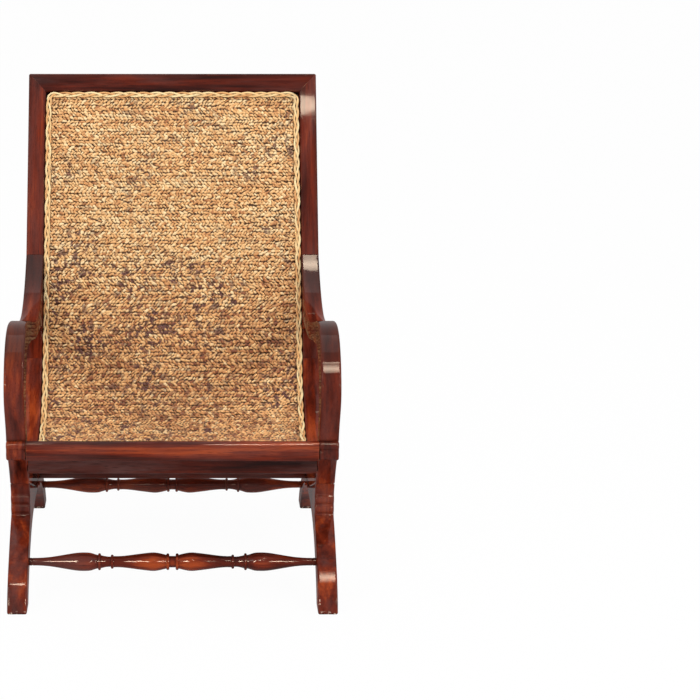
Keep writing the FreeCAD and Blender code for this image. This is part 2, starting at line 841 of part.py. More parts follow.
apron_bottom = nose_bottom.y - g.apron_height
apron_outline = upright_board(place(g.apron_setback, apron_bottom), g.apron_thickness, g.apron_height)
cleat_offset = g.panel_recess + g.panel_thickness
cleat_middle_offset = cleat_offset + g.cleat_thickness / 2
front_cleat_distance = seat_distance(g.front_rail_depth + g.cleat_width / 2, cleat_middle_offset)
front_cleat_at = seat_point(front_cleat_distance, cleat_middle_offset)
front_screw_at = front_cleat_at + Vector(g.cleat_width / 2, 0, 0)
spread_shares = (-0.7, 0, 0.7)
front_screws = [
    screw("cleat_screw_front", at(front_screw_at, share * (inner_x - g.block_size)), Vector(0, -1, 0))
    for share in spread_shares
]
apron = cross_board("front_apron", apron_outline, corners=lower_corners(apron_outline))
cut_node("front_apron", apron, pegs_of("apron") + front_screws)

cross_outline = upright_board(cross_rail_corner, g.cross_rail_thickness, g.cross_rail_height)
cross_rail = cross_board("rear_cross_rail", cross_outline, corners=lower_corners(cross_outline))
cut_node("rear_cross_rail", cross_rail, pegs_of("cross_rail"))

top_cleat_angle = upper_angle_below_top(g.crest_width + g.cleat_width)
top_screw_at = upper_point(top_cleat_angle, cleat_middle_offset)
top_screws = [
    screw("cleat_screw_top", at(top_screw_at, share * cleat_inner_x), way_of(along(g.crest_angle)))
    for share in spread_shares
]
crest_corners = [end for one in crest_outline() for _, end in ends_of(one)]
crest_x = "(Sizes.overall_width + Sizes.cut_overrun) / 2"
crest = cross_board("crest_rail", crest_outline(), crest_x, crest_corners, "Chamfer", "Sizes.mitre_chamfer")
crest_cuts = [tool for name in SIDES for tool in mitres[name][1:]] + list(splines.values())
cut_node("crest_rail", crest, crest_cuts + top_screws)


# The turned stretchers


def stretcher_profile():
    """Half outline of a stretcher as (x, radius) curves, from the middle to the end of the tenon."""
    half = inner_x
    bulge = g.stretcher_bulge_diameter / 2
    ring = g.stretcher_ring_diameter / 2
    neck_share = g.stretcher_neck_diameter / g.stretcher_bulge_diameter

    def turned_points(shares):
        return [Vector(half * x, bulge * out, 0) for x, out in shares]

    # A ring's place, its size, and the bulge's shares at its two feet
    ring_shares = [(0.0341, 0.98, neck_share, 0.75), (0.4195, 0.83, 0.61, 0.55), (0.5087, 1, 0.717, 0.73)]
    ring_width_share = 0.009
    rings = []
    for place_share, size_share, low_share, high_share in ring_shares:
        low, high = turned_points([(place_share - ring_width_share, low_share),
                                   (place_share + ring_width_share, high_share)])
        rings.append(Part.Arc(low, Vector(half * place_share, ring * size_share, 0), high))
    inner_bulge_shares = [(0.08, 0.89), (0.1235, 1), (0.179, 0.95), (0.259, 0.795), (0.338, 0.64)]
    spacer_shares = [(0.465, 0.59)]
    outer_bulge_shares = [(0.539, 0.81), (0.567, 0.95), (0.599, 1), (0.658, 0.98), (0.698, 0.9)]
    outer_bulge_shares += [(0.778, 0.69), (0.857, 0.505), (0.917, 0.427)]
    groove_shares = [(0.972, 0.412), (0.9755, 0.37), (0.979, 0.418)]

    def swell(start, shares, finish):
        return curve([start] + turned_points(shares) + [finish])

    groove_start, groove_deep, groove_end = turned_points(groove_shares)
    shoulder = Vector(half, g.stretcher_end_diameter / 2, 0)
    tenon_start = Vector(half, g.stretcher_tenon_diameter / 2, 0)
    tenon_end = tenon_start + Vector(g.stretcher_tenon_length, 0, 0)
    return [
        line(Vector(0, rings[0].StartPoint.y, 0), rings[0].StartPoint),
        rings[0],
        swell(rings[0].EndPoint, inner_bulge_shares, rings[1].StartPoint),
        rings[1],
        swell(rings[1].EndPoint, spacer_shares, rings[2].StartPoint),
        rings[2],
        swell(rings[2].EndPoint, outer_bulge_shares, groove_start),
        line(groove_start, groove_deep),
        line(groove_deep, groove_end),
        line(groove_end, shoulder),
        line(shoulder, tenon_start),
        line(tenon_start, tenon_end),
        line(tenon_end, Vector(tenon_end.x, 0, 0)),
    ]


def stretcher(label, centre):
    """A stretcher turned about its long axis, with a round tenon at each end."""
    half = stretcher_profile()
    body = doc.addObject("PartDesign::Body", label)
    sketch = body.newObject("Sketcher::SketchObject", f"{label}_profile")
    sketch.AttachmentSupport = [(origin_plane(body, "XY_Plane"), "")]
    sketch.MapMode = "FlatFace"
    end = half[-1].EndPoint
    whole = half + [mirrored_profile(one) for one in half]
    sketch.addGeometry(whole + [line(Vector(-end.x, 0, 0), end)], False)
    turned = body.newObject("PartDesign::Revolution", f"{label}_turned")
    turned.Profile = sketch
    turned.ReferenceAxis = (sketch, ["H_Axis"])
    turned.Angle = 360
    doc.recompute()
    body.Placement = Placement(at(centre, 0), Rotation())
    keep(label, body)


def mirrored_profile(one):
    """A curve of the half profile on the other side of the middle."""
    if isinstance(one, Part.Arc):
        shape = one.toShape()
        ends = [shape.valueAt(shape.FirstParameter), middle(shape), shape.valueAt(shape.LastParameter)]
        return Part.Arc(*[Vector(-point.x, point.y, 0) for point in ends])
    if isinstance(one, Part.LineSegment):
        return line(*[Vector(-point.x, point.y, 0) for point in (one.StartPoint, one.EndPoint)])
    other = one.copy()
    other.transform(Placement(Vector(0, 0, 0), Rotation(Vector(0, 1, 0), 180)).toMatrix())
    return other


stretcher("front_stretcher", front_stretcher_at)
stretcher("rear_stretcher", rear_stretcher_at)


# The woven panel, its binding and its cleats

PANEL_X = f"({INNER_X} - Sizes.panel_side_gap)"
BINDING_X = f"({INNER_X} - Sizes.binding_width)"
CLEAT_X = f"({INNER_X} - Sizes.cleat_width)"
BLOCK_X = f"({INNER_X} - Sizes.block_size)"
panel_outline = strip_outline(g.front_rail_depth, g.panel_recess, g.panel_thickness, g.crest_width)
panel = cross_board("woven_panel", panel_outline, PANEL_X)
keep("woven_panel", panel)

binding_offset = g.panel_recess - g.binding_height
binding_top_gap = g.crest_width + g.binding_corner_radius
side_binding = strip_outline(g.front_rail_depth, binding_offset, g.binding_height, binding_top_gap)
side_cleat = strip_outline(
    g.front_rail_depth + g.block_size, cleat_offset, g.cleat_thickness, g.crest_width
)
for name, side in SIDES.items():
    start = BINDING_X if side > 0 else f"-{PANEL_X}"
    binding, _ = sketched_body(
        f"binding_{name}", "YZ_Plane", side_binding, f"{PANEL_X} - {BINDING_X}", start
    )
    keep(f"binding_{name}", binding)
    start = CLEAT_X if side > 0 else f"-{INNER_X}"
    cleat, _ = sketched_body(f"panel_cleat_{name}", "YZ_Plane", side_cleat, "Sizes.cleat_width", start)
    cut_node(f"panel_cleat_{name}", cleat, side_screws[name])


def short_strip(front_setback, offset, thickness, width):
    """A strip across the front of the straight seat."""
    ends = [(front_setback, offset), (front_setback + width, offset)]
    ends += [(front_setback + width, offset + thickness), (front_setback, offset + thickness)]
    return closed_lines([seat_point(seat_distance(setback, deep), deep) for setback, deep in ends])


front_binding = short_strip(g.front_rail_depth, binding_offset, g.binding_height, g.binding_width)
keep("binding_front", cross_board("binding_front", front_binding, BINDING_X))
front_cleat = short_strip(g.front_rail_depth, cleat_offset, g.cleat_thickness, g.cleat_width)
cut_node("panel_cleat_front", cross_board("panel_cleat_front", front_cleat, BLOCK_X), front_screws)

panel_top_angle = upper_angle_below_top(g.crest_width)
cleat_deep = cleat_offset + g.cleat_thickness
top_cleat = [
    arc(upper_point, top_cleat_angle, panel_top_angle, cleat_offset),
    line(upper_point(panel_top_angle, cleat_offset), upper_point(panel_top_angle, cleat_deep)),
    arc(upper_point, panel_top_angle, top_cleat_angle, cleat_deep),
    line(upper_point(top_cleat_angle, cleat_deep), upper_point(top_cleat_angle, cleat_offset)),
]
cut_node("panel_cleat_top", cross_board("panel_cleat_top", top_cleat, CLEAT_X), top_screws)


def top_binding_outline():
    """The top run of the binding with its two rounded corners, seen square to the back."""
    far = inner_x - g.panel_side_gap
    corner = g.binding_corner_radius
    width = g.binding_width
    left_centre = Vector(corner - far, -corner, 0)
    right_centre = Vector(far - corner, -corner, 0)
    inner_corner = corner - width

    def quarter(centre, radius, start, finish):
        half_way = (start + finish).normalize()
        return Part.Arc(centre + start * radius, centre + half_way * radius, centre + finish * radius)

    level = Vector(1, 0, 0)
    upright = Vector(0, 1, 0)
    return [
        quarter(left_centre, corner, -level, upright),
        line(left_centre + upright * corner, right_centre + upright * corner),
        quarter(right_centre, corner, upright, level),
        line(right_centre + level * corner, right_centre + level * inner_corner),
        quarter(right_centre, inner_corner, level, upright),
        line(right_centre + upright * inner_corner, left_centre + upright * inner_corner),
        quarter(left_centre, inner_corner, upright, -level),
        line(left_centre - level * inner_corner, left_centre - level * corner),
    ]


top_binding, _ = sketched_body(
    "binding_top", "XZ_Plane", top_binding_outline(), "Sizes.binding_height", "0"
)
top_binding_angle = (panel_top_angle + upper_angle_below_top(binding_top_gap)) / 2
back_lean = Rotation(Vector(1, 0, 0), top_binding_angle - 90)
top_binding.Placement = Placement(at(upper_point(panel_top_angle, g.panel_recess), 0), back_lean)
keep("binding_top", top_binding)


# Corner blocks behind the apron, cut from square stock to triangles

for name, side in SIDES.items():
    inward = Vector(-side * g.block_size, 0, 0)
    rearward = Vector(0, g.block_size, 0)
    block, _ = sketched_body(
        f"corner_block_{name}", "XY_Plane", closed_lines([Vector(0, 0, 0), inward, rearward]),
        "Sizes.block_height", "0"
    )
    block.Placement = Placement(at(place(g.front_rail_depth, apron_bottom), side * inner_x), Rotation())
    keep(f"corner_block_{name}", block)


# What each joint holds inside, one node for each kind

for kind, label in {
    "stile": "stile_dowels",
    "arm_front": "arm_front_dowels",
    "arm_rear": "arm_rear_dowels",
    "front_leg": "front_leg_dowels",
    "rear_leg": "rear_leg_dowels",
    "crown": "leg_crown_dowels",
    "front_rail": "front_rail_dowels",
    "apron": "apron_dowels",
    "cross_rail": "cross_rail_dowels",
}.items():
    keep(label, group(label, pegs_of(kind)))
keep("mitre_splines", group("mitre_splines", list(splines.values())))
all_screws = side_screws["left"] + side_screws["right"] + front_screws + top_screws
keep("cleat_screws", group("cleat_screws", all_screws))

doc.recompute()
failed = [item.Label for item in doc.Objects if {"Invalid", "Error"} & set(item.State)]
failed += [node.Label for node in nodes if node.Shape.isNull() or not node.Shape.isValid()]
if failed:
    raise RuntimeError(f"these failed: {failed}")
os.makedirs("parts", exist_ok=True)
for node in nodes:
    node.Shape.exportStep(f"parts/{node.Label}.step")
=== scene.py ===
"""The planters chair's looks: woven seat, plaited binding, lacquered wood, floor, lamps and camera.

Lengths are in metres. X points to the viewer's right, Y to the back and Z up.
"""

import math

import bpy
import numpy as np
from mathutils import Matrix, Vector


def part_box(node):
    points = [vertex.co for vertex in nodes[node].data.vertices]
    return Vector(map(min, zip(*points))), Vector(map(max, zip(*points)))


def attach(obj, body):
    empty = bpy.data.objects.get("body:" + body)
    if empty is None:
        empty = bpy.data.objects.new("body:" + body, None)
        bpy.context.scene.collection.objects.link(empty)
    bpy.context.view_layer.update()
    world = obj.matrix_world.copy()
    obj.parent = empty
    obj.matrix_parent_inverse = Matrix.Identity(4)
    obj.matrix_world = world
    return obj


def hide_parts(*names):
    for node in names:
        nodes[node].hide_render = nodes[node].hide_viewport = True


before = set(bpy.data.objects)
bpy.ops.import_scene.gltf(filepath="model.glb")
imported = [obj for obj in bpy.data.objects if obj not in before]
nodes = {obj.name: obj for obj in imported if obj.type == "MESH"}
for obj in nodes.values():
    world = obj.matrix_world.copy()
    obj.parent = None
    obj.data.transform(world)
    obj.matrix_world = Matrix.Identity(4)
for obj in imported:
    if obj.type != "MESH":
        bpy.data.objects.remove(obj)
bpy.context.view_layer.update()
scene = bpy.context.scene
chance = np.random.default_rng(20)


# Materials


def linear(red, green, blue):
    """An sRGB colour of 0 to 255 as the linear colour that a node takes."""
    share = [c / 255 for c in (red, green, blue)]
    return (*[c / 12.92 if c <= 0.04045 else ((c + 0.055) / 1.055) ** 2.4 for c in share], 1)


class Tree:
    """A material's nodes, with calls that add a node, fill its inputs and give its output.

    Noise lies around 0.5. A spread over it says where its effect begins and where it is full,
    and then how strong it is at these two.
    """

    def __init__(self, name):
        self.material = bpy.data.materials.new(name)
        self.material.use_nodes = True
        self.nodes = self.material.node_tree.nodes
        self.links = self.material.node_tree.links
        self.shader = self.nodes["Principled BSDF"]
        self.object_place = self.add("TexCoord").outputs["Object"]

    def fill(self, socket, value):
        if isinstance(value, bpy.types.NodeSocket):
            self.links.new(value, socket)
        else:
            socket.default_value = value

    def add(self, kind, inputs=None, **settings):
        node = self.nodes.new("ShaderNode" + kind)
        for name, value in settings.items():
            setattr(node, name, value)
        for name, value in (inputs or {}).items():
            self.fill(node.inputs[name], value)
        return node

    def compute(self, operation, *values):
        node = self.add("Math", operation=operation)
        for socket, value in zip(node.inputs, values):
            self.fill(socket, value)
        return node.outputs[0]

    def noise(self, place, scale=1.0, detail=3.0, roughness=0.5, distortion=0.0):
        inputs = {"Vector": place, "Scale": scale, "Detail": detail}
        inputs.update({"Roughness": roughness, "Distortion": distortion})
        return self.add("TexNoise", inputs).outputs["Fac"]

    def spread(self, value, low, high, to_low=0.0, to_high=1.0, clamp=True):
        inputs = {"Value": value, "From Min": low, "From Max": high, "To Min": to_low, "To Max": to_high}
        return self.add("MapRange", inputs, clamp=clamp).outputs["Result"]

    def mix(self, share, first, second):
        node = self.add("Mix", data_type="RGBA", blend_type="MIX", clamp_factor=True)
        self.fill(node.inputs[0], share)
        self.fill(node.inputs[6], first)
        self.fill(node.inputs[7], second)
        return node.outputs[2]

    def ramp(self, value, stops):
        node = self.add("ValToRGB", {"Fac": value})
        points = node.color_ramp.elements
        while len(points) < len(stops):
            points.new(0.5)
        for point, (place, colour) in zip(points, stops):
            point.position = place
            point.color = colour
        return node.outputs["Color"]

    def stretched(self, along, across, axis, tilt=0.0, rise_share=1.0):
        """The place turned about X so that the grain lies on an axis, then scaled along and across it."""
        turned = self.add("Mapping", {"Vector": self.object_place, "Rotation": (tilt, 0, 0)}).outputs[0]
        scale = [across, across, across * rise_share]
        scale["XYZ".index(axis)] = along
        return self.add("Mapping", {"Vector": turned, "Scale": scale}).outputs[0]

    def height(self):
        return self.add("SeparateXYZ", {"Vector": self.object_place}).outputs[2]

    def openness(self, reach):
        """How free a point lies, from 0 deep in a groove to 1 in the open."""
        return self.add("AmbientOcclusion", {"Distance": reach}, samples=6).outputs["AO"]

    def bump(self, height, strength, distance, normal=None):
        inputs = {"Height": height, "Strength": strength, "Distance": distance}
        if normal is not None:
            inputs["Normal"] = normal
        return self.add("Bump", inputs).outputs[0]

    def shade(self, **values):
        for name, value in values.items():
            self.fill(self.shader.inputs[name.replace("_", " ")], value)
        return self.material


WOOD_STOPS = (
    (0.38, linear(42, 14, 10)),
    (0.47, linear(80, 26, 15)),
    (0.55, linear(112, 39, 21)),
    (0.64, linear(166, 70, 32)),
)
# Painted grey sheen of the reflected surroundings, partly lacquer bloom
SHEEN_AND_BLOOM = linear(100, 66, 62)
PORE = linear(24, 9, 8)
# Painted shade with some grime, for grooves and corners
GRIME_AND_SHADE = linear(20, 8, 7)
WORN = linear(192, 130, 92)
# Painted shade on up-facing tops, where little light falls from above
TOP_SHADE = linear(44, 29, 26)
CHIPPED = linear(222, 196, 176)

# Scales of the wood's patterns along and across the grain
FIGURE_SCALE = (2.2, 26)
STREAK_SCALE = (5, 140)
PORE_SCALE = (45, 950)
SHEEN_AND_BLOOM_SCALE = (3.5, 20)
FIGURE_SHARE = 0.7

# Scale, detail and roughness of the noise for wear, chips and the polish's unevenness
WEAR_NOISE = (26, 4, 0.65)
CHIP_NOISE = (120, 3, 0.6)
UNEVEN_NOISE = (34, 1)

SHEEN_AND_BLOOM_SPREAD = (0.45, 0.65)
PORE_SPREAD = (0.60, 0.72, 0.0, 0.55)
GRIME_AND_SHADE_SPREAD = (0.75, 0.35, 0.0, 0.8)
EDGE_SPREAD = (0.985, 0.86)
WEAR_SPREAD = (0.49, 0.61, 0.0, 0.85)
CHIP_SPREAD = (0.56, 0.61)
CHIP_HEIGHTS = (0.009, 0.003)
WOOD_ROUGHNESS = (0.3, 0.7, 0.30, 0.46)
TOP_SHADE_SHARE = 0.7
GRIME_AND_SHADE_REACH = 0.014
EDGE_RADIUS = 0.0016

# Strength and depth of the bumps
UNEVEN_BUMP = (0.05, 0.0012)
PORE_BUMP = (0.25, 0.0002)

# A hand-planed stile isn't quite flat: it leans back a little more at this height, in long waves
WAVE_HEIGHT = 0.921
WAVE_SPACING = 0.33
WAVE_DEPTH = 0.004

# The lacquer, weakest where one looks along the face
COAT_IOR = 1.3
COAT_ROUGHNESS = 0.05
POLISH = 0.45
POLISH_FALL = 5.0


def wood_colour(tree, grain, streak, pores, depth, contrast, sheen_share):
    """The wood's colour from its figure, streaks and dark pores, under a painted grey sheen that is partly
    lacquer bloom.
    """
    figure = tree.noise(grain(*FIGURE_SCALE), detail=3, distortion=0.7)
    figure_part = tree.compute("MULTIPLY", figure, FIGURE_SHARE)
    streak_part = tree.compute("MULTIPLY", streak, 1 - FIGURE_SHARE)
    both = tree.compute("ADD", figure_part, streak_part)
    middle, reach = 0.5 - depth, 0.5 * contrast
    colour = tree.ramp(tree.spread(both, 0.0, 1.0, middle - reach, middle + reach), WOOD_STOPS)
    # Painted grey sheen, partly lacquer bloom, in patches along the grain
    sheen_patches = tree.noise(grain(*SHEEN_AND_BLOOM_SCALE), detail=4, roughness=0.6)
    colour = tree.mix(tree.spread(sheen_patches, *SHEEN_AND_BLOOM_SPREAD, 0.0, sheen_share), colour, SHEEN_AND_BLOOM)
    return tree.mix(tree.spread(pores, *PORE_SPREAD), colour, PORE)


def worn_edges(tree, colour, soft):
    """Pale wear in patches along the edges, where the rounded normal turns away from the face's own."""
    plain = tree.add("NewGeometry").outputs["Normal"]
    turn = tree.add("VectorMath", operation="DOT_PRODUCT")
    tree.fill(turn.inputs[0], soft)
    tree.fill(turn.inputs[1], plain)
    edge = tree.spread(turn.outputs["Value"], *EDGE_SPREAD)
    patch = tree.spread(tree.noise(tree.object_place, *WEAR_NOISE), *WEAR_SPREAD)
    return tree.mix(tree.compute("MULTIPLY", edge, patch), colour, WORN)


def lacquered_wood(
    name,
    axis,
    tilt=0.0,
    depth=0.0,
    waved=False,
    rise_share=1.0,
    contrast=0.8,
    sheen_share=0.35,
    chipped=False,
    grazing=0.03,
    shaded_top=None,
):
    """Polished dark red wood, with its grain on an axis of the chair after a turn about X.

    A greater depth makes it darker, contrast sets how strong its figure is, and the sheen share how much
    painted grey sheen, partly lacquer bloom, lies over it.
    A low rise_share lets the figure run on where a piece bends up or down.
    Waved wood has the long waves of a hand-planed face, and chipped wood pale specks just over the floor.
    Grazing is the polish that is left where one looks along the face.
    Top shading gives the height where painted shade begins to darken the wood's top, where little light
    falls from above, and the height where it is full.
    """
    tree = Tree(name)

    def grain(along, across):
        return tree.stretched(along, across, axis, tilt, rise_share)

    streak = tree.noise(grain(*STREAK_SCALE), detail=4, roughness=0.6)
    pores = tree.noise(grain(*PORE_SCALE), detail=1)
    colour = wood_colour(tree, grain, streak, pores, depth, contrast, sheen_share)
    # Darker in grooves and corners by ambient occlusion: painted shade, with some grime
    colour = tree.mix(tree.spread(tree.openness(GRIME_AND_SHADE_REACH), *GRIME_AND_SHADE_SPREAD), colour, GRIME_AND_SHADE)
    soft = tree.add("Bevel", {"Radius": EDGE_RADIUS}, samples=4).outputs["Normal"]
    colour = worn_edges(tree, colour, soft)
    if shaded_top:
        # Painted shade: darker towards the top, which faces up where little light falls
        colour = tree.mix(tree.spread(tree.height(), *shaded_top, 0.0, TOP_SHADE_SHARE), colour, TOP_SHADE)
    if chipped:
        speck = tree.spread(tree.noise(tree.object_place, *CHIP_NOISE), *CHIP_SPREAD)
        low = tree.spread(tree.height(), *CHIP_HEIGHTS)
        colour = tree.mix(tree.compute("MULTIPLY", speck, low), colour, CHIPPED)
    bumped = tree.bump(tree.noise(tree.object_place, *UNEVEN_NOISE), *UNEVEN_BUMP, soft)
    if waved:
        angle = tree.spread(tree.height(), WAVE_HEIGHT, WAVE_HEIGHT - WAVE_SPACING, 0.0, 2 * math.pi, False)
        bumped = tree.bump(tree.compute("SINE", angle), 1.0, WAVE_DEPTH, bumped)
    grained = tree.bump(pores, *PORE_BUMP, bumped)
    facing = tree.add("LayerWeight", {"Blend": 0.5}).outputs["Facing"]
    polish = tree.spread(tree.compute("POWER", facing, POLISH_FALL), 0.0, 1.0, POLISH, grazing)
    tree.shader.inputs["Specular IOR Level"].default_value = 0.0
    tree.shader.inputs["Coat IOR"].default_value = COAT_IOR
    tree.shader.inputs["Coat Roughness"].default_value = COAT_ROUGHNESS
    tree.shade(Base_Color=colour, Roughness=tree.spread(streak, *WOOD_ROUGHNESS), Normal=grained)
    return tree.shade(Coat_Normal=bumped, Coat_Weight=polish)


def plain_wood(name, axis, light, dark):
    """Bare hardwood for pieces inside and behind."""
    tree = Tree(name)
    figure = tree.noise(tree.stretched(4, 90, axis), detail=4, distortion=0.4)
    pores = tree.noise(tree.stretched(60, 900, axis), detail=1)
    colour = tree.ramp(figure, ((0.32, dark), (0.68, light)))
    colour = tree.mix(tree.spread(pores, 0.6, 0.75, 0.0, 0.5), colour, dark)
    rough = tree.spread(figure, 0.3, 0.7, 0.5, 0.68)
    return tree.shade(Base_Color=colour, Roughness=rough, Normal=tree.bump(pores, 0.3, 0.0003))


def screw_steel(name):
    """Steel that is rubbed and a little stained."""
    tree = Tree(name)
    rub = tree.noise(tree.object_place, 1400, 3, 0.6)
    stain = tree.noise(tree.object_place, 160, 3)
    colour = tree.ramp(stain, ((0.4, linear(150, 148, 142)), (0.7, linear(104, 92, 78))))
    tree.shader.inputs["Metallic"].default_value = 1.0
    rough = tree.spread(rub, 0.3, 0.7, 0.26, 0.48)
    return tree.shade(Base_Color=colour, Roughness=rough, Normal=tree.bump(rub, 0.3, 0.0001))


STRAND_STOPS = (
    (0.24, linear(150, 88, 54)),
    (0.38, linear(218, 156, 98)),
    (0.57, linear(244, 194, 132)),
    (0.74, linear(253, 222, 170)),
)
BINDING_STOPS = (
    (0.26, linear(176, 112, 62)),
    (0.46, linear(226, 168, 106)),
    (0.62, linear(240, 198, 138)),
    (0.80, linear(250, 224, 170)),
)
# Colours of the warp layer, dark as painted shade between the rows
WARP_SHADE_STOPS = ((0.3, linear(60, 34, 18)), (0.7, linear(110, 70, 36)))
PATCH_BROWN = linear(106, 66, 58)
# Painted shade in the weave's hollows and where strands lie deep between others
HOLLOW_SHADE = linear(66, 36, 14)
SUNK_SHADE = linear(80, 42, 22)

# Scales of the fibres along a strand, round it, and from tone to tone
FIBRE_SCALE = (55, 5, 90)
TONE_SHARE = 0.62
FIBRE_SHARE = 0.30
CLOUD_SHARE = 0.24

FIBRE_NOISE = (1.0, 3, 0.6)
CLOUD_NOISE = (7.5, 3, 0.55)
FLECK_NOISE = (75, 2, 0.6)
CLOUD_SPREAD = (0.46, 0.62)
FLECK_SPREAD = (0.5, 0.6)
HOLLOW_SHADE_SPREAD = (0.72, 0.2, 0.0, 0.8)
SUNK_SHADE_SPREAD = (0.52, 1.0, 0.0, 0.85)
STRAND_ROUGHNESS = (0.3, 0.7, 0.48, 0.7)
FIBRE_BUMP = (0.5, 0.0004)
HOLLOW_SHADE_REACH = 0.006

# The weave is fresh above the first height and fully used below the second
USED_HEIGHTS = (0.62, 0.42)
USED_BROWN = 5.0


def strand_material(name, stops, patches, used=0.0):
    """Dried leaf strands in the stops' tones, with brown patches, and darker and browner where used.

    Painted shade darkens them in hollows and where they lie deep between the other strands.
    The strand attribute holds a point's length along, turn round and own tone,
    and the sunk attribute how deep it lies between the other strands.
    """
    tree = Tree(name)
    strand = tree.add("Attribute", attribute_name="strand").outputs["Vector"]
    parts = tree.add("SeparateXYZ", {"Vector": strand}).outputs
    fibre_place = tree.add("CombineXYZ")
    for socket, part, scale in zip(fibre_place.inputs, parts, FIBRE_SCALE):
        tree.fill(socket, tree.compute("MULTIPLY", part, scale))
    fibre = tree.noise(fibre_place.outputs[0], *FIBRE_NOISE)
    cloud = tree.noise(tree.object_place, *CLOUD_NOISE)
    fleck = tree.noise(tree.object_place, *FLECK_NOISE)
    value = tree.compute("MULTIPLY", parts[2], TONE_SHARE)
    for pattern, part_share in ((fibre, FIBRE_SHARE), (cloud, CLOUD_SHARE)):
        value = tree.compute("ADD", value, tree.compute("MULTIPLY", pattern, part_share))
    use = tree.spread(tree.height(), *USED_HEIGHTS, 0.0, used)
    colour = tree.ramp(tree.compute("SUBTRACT", value, use), stops)
    use_brown = tree.compute("MULTIPLY", use, USED_BROWN)
    browned = tree.compute("ADD", tree.spread(cloud, *CLOUD_SPREAD), use_brown)
    brown = tree.compute("MULTIPLY", browned, tree.spread(fleck, *FLECK_SPREAD))
    colour = tree.mix(tree.compute("MULTIPLY", brown, patches), colour, PATCH_BROWN)
    # Painted shade in hollows, found by ambient occlusion
    shade_in_hollows = tree.spread(tree.openness(HOLLOW_SHADE_REACH), *HOLLOW_SHADE_SPREAD)
    colour = tree.mix(shade_in_hollows, colour, HOLLOW_SHADE)
    # Painted shade where a strand lies deep between the others
    sunk = tree.add("Attribute", attribute_name="sunk").outputs["Fac"]
    colour = tree.mix(tree.spread(sunk, *SUNK_SHADE_SPREAD), colour, SUNK_SHADE)
    tree.shader.inputs["Specular IOR Level"].default_value = 0.35
    tree.shader.inputs["Sheen Weight"].default_value = 0.08
    rough = tree.spread(fibre, *STRAND_ROUGHNESS)
    return tree.shade(Base_Color=colour, Roughness=rough, Normal=tree.bump(fibre, *FIBRE_BUMP))


# The seat's profile

LINE_POINTS = 900
SIDE_SLACK = 1e-5


def run_along(points):
    """The length along a line of points, at each of them."""
    return np.concatenate([[0], np.cumsum(np.linalg.norm(np.diff(points, axis=0), axis=1))])


def side_outline():
    """The outline of the panel's right side face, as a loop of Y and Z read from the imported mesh."""
    mesh = nodes["woven_panel"].data
    place = np.array([v.co for v in mesh.vertices])
    side = place[:, 0] > place[:, 0].max() - SIDE_SLACK
    edges = {}
    for face in mesh.polygons:
        if all(side[v] for v in face.vertices):
            corner = [tuple(np.round(place[v][1:], 6)) for v in face.vertices]
            for a, b in zip(corner, corner[1:] + corner[:1]):
                pair = (min(a, b), max(a, b))
                edges[pair] = edges.get(pair, 0) + 1
    beside = {}
    for (a, b), uses in edges.items():
        if uses == 1:
            beside.setdefault(a, []).append(b)
            beside.setdefault(b, []).append(a)
    start = min(beside)
    loop = [start, beside[start][0]]
    while True:
        ahead = [p for p in beside[loop[-1]] if p != loop[-2]]
        if not ahead or ahead[0] == start:
            break
        loop.append(ahead[0])
    return np.array(loop)


def long_chains(loop):
    """The two longest chains between a loop's four sharpest corners."""
    before = loop - np.roll(loop, 1, 0)
    after = np.roll(loop, -1, 0) - loop
    cross = before[:, 0] * after[:, 1] - before[:, 1] * after[:, 0]
    bend = np.abs(np.arctan2(cross, (before * after).sum(1)))
    corners = sorted(np.argsort(bend)[-4:])
    chains = []
    for i, first in enumerate(corners):
        last = corners[(i + 1) % 4]
        end = last if last > first else last + len(loop)
        chains.append(loop[[k % len(loop) for k in range(first, end + 1)]])
    return sorted(chains, key=lambda chain: -run_along(chain)[-1])[:2]


def panel_line(count):
    """The panel's middle line from front to top, with its outward normals, its length and the thickness."""
    halves = []
    for chain in long_chains(side_outline()):
        if chain[0][0] > chain[-1][0]:
            chain = chain[::-1]
        run = run_along(chain)
        even = np.linspace(0, run[-1], count)
        halves.append(np.stack([np.interp(even, run, chain[:, k]) for k in range(2)], 1))
    middle = (halves[0] + halves[1]) / 2
    heading = np.gradient(middle, axis=0)
    heading /= np.linalg.norm(heading, axis=1)[:, None]
    normal = np.stack([-heading[:, 1], heading[:, 0]], 1)
    thickness = np.linalg.norm(halves[0] - halves[1], axis=1).mean()
    length = np.linalg.norm(np.diff(middle, axis=0), axis=1).sum()
    return middle, normal, length, thickness


line, line_normal, line_length, panel_thickness = panel_line(LINE_POINTS)
line_run = np.linspace(0, line_length, LINE_POINTS)
panel_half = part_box("woven_panel")[1][0]


def on_panel(run, height):
    """World Y and Z of places that lie at a length along the panel's middle and a height over it."""
    base = [np.interp(run, line_run, line[:, k]) for k in range(2)]
    out = [np.interp(run, line_run, line_normal[:, k]) for k in range(2)]
    return base[0] + out[0] * height, base[1] + out[1] * height


# Meshes of strands


def tube_faces(rings, sides, first):
    """Quads between rings of points, and one cap at each end, as flat vertex lists and sizes."""
    ring = np.arange(rings - 1)[:, None] * sides
    a = first + ring + np.arange(sides)[None, :]
    b = first + ring + (np.arange(sides)[None, :] + 1) % sides
    quads = np.stack([a, b, b + sides, a + sides], 2).reshape(-1)
    start = first + np.arange(sides)[::-1]
    end = first + (rings - 1) * sides + np.arange(sides)
    return np.concatenate([quads, start, end]), [4] * ((rings - 1) * sides) + [sides, sides]


def strand_values(length, turn, tone, shape):
    """The strand attribute's values on each point of a tube."""
    return np.stack([np.broadcast_to(part, shape) for part in (length, turn, tone)], 2)


